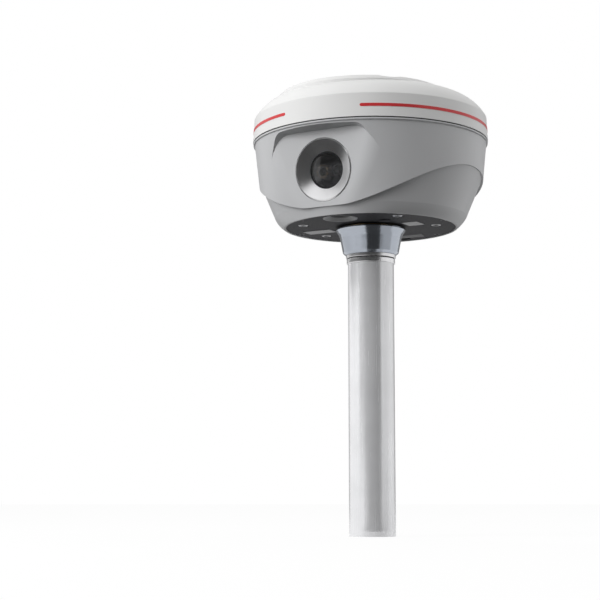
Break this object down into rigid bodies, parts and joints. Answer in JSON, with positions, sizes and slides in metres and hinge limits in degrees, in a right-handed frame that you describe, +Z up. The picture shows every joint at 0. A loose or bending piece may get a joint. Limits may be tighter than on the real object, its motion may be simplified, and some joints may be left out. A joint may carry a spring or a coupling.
{
  "type": "satellite survey receiver",
  "caption": "Satellite survey receiver head with a pale radome on a tapered grey housing, a round front window and a dark underside, screwed onto the collar of a short round pole.",
  "frame": {"origin": "centre of the threaded socket's mouth at the pole's lower end", "axes": "+Z up along the pole, the front window faces -Y, +X to the right of someone who faces the front window"},
  "size_m": [0.1548, 0.1548, 0.2882],
  "materials": {
    "radome_pale": "smooth satin",
    "shell_grey": "fine satin",
    "rubber_dark": "matt",
    "base_dark": "fine texture",
    "cover_grey": "matt",
    "camera_surround": "satin",
    "bezel_metal": "turned satin",
    "metal_dark": "anodised",
    "spacer_metal": "plain",
    "collar_metal": "satin anodised",
    "ring_polished": "polished",
    "pole_metal": "satin anodised",
    "screw_steel": "bright",
    "can_metal": "tinned",
    "module_brass": "plain",
    "window_glass": "dark tinted",
    "lens_glass": "coated",
    "optics_black": "matt",
    "board_green": "solder resist",
    "battery_blue": "shrink film",
    "antenna_ceramic": "sintered",
    "panel_black": "gloss",
    "light_clear": "clear",
    "button_grey": "satin",
    "label_pale": "printed film, blank"
  },
  "bodies": {
    "pole": {"pole_tube": "pole_metal", "tube_socket": "pole_metal", "lower_ring": "ring_polished", "ring_seal": "rubber_dark", "upper_ring": "ring_polished", "pole_adapter": "collar_metal", "adapter_stud": "screw_steel"},
    "washer": {"pole_washer": "screw_steel"},
    "head": {"radome": "radome_pale", "radome_gasket": "rubber_dark", "main_housing": "shell_grey", "window_bezel": "bezel_metal", "bezel_seal": "rubber_dark", "bezel_nut": "metal_dark", "window_retainer": "metal_dark", "front_window": "window_glass", "laser_module": "module_brass", "laser_lens": "lens_glass", "front_camera": "optics_black", "front_camera_lens": "lens_glass", "optics_bracket": "metal_dark", "bracket_screws": "screw_steel", "base_plate": "base_dark", "base_gasket": "rubber_dark", "base_screws": "metal_dark", "tie_screws": "screw_steel", "lower_spacers": "spacer_metal", "upper_spacers": "spacer_metal", "down_camera_bezel": "camera_surround", "down_camera_window": "window_glass", "down_camera": "optics_black", "down_camera_lens": "lens_glass", "port_hinge_pin": "screw_steel", "port_board": "board_green", "usb_socket": "screw_steel", "card_socket": "screw_steel", "label_plates": "label_pale", "vent_plug": "base_dark", "beeper": "optics_black", "main_board": "board_green", "positioning_module": "can_metal", "radio_module": "can_metal", "battery_tray": "base_dark", "battery_pack": "battery_blue", "antenna_plate": "spacer_metal", "antenna_spacers": "spacer_metal", "antenna_board": "board_green", "antenna_screws": "screw_steel", "antenna_element": "antenna_ceramic", "antenna_feed": "module_brass", "thread_insert": "module_brass", "insert_nut": "module_brass", "control_panel": "panel_black", "button_seal": "rubber_dark", "control_board": "board_green", "control_screws": "screw_steel", "button_switch": "optics_black", "status_lights": "light_clear"},
    "button": {"power_button": "button_grey"},
    "cover": {"port_cover": "cover_grey"}
  },
  "joints": [
    {"name": "head_rise", "type": "slide", "parent": "pole", "child": "washer", "axis": [0, 0, 1], "range_m": [0, 0.01155]},
    {"name": "head_turn", "type": "hinge", "parent": "washer", "child": "head", "pos_m": [0, 0, 0.1998], "axis": [0, 0, 1], "range_deg": [0, 1800]},
    {"name": "power_press", "type": "slide", "parent": "head", "child": "button", "axis": [0, -0.9614, 0.2752], "range_m": [0, 0.0008], "stiffness_N_per_m": 800},
    {"name": "cover_swing", "type": "hinge", "parent": "head", "child": "cover", "pos_m": [0, 0.0378, 0.2016], "axis": [-1, 0, 0], "range_deg": [0, 100]}
  ],
  "couplings": [
    {"joint": "head_rise", "follows": "head_turn", "m_per_rad": 0.0003675}
  ]
}
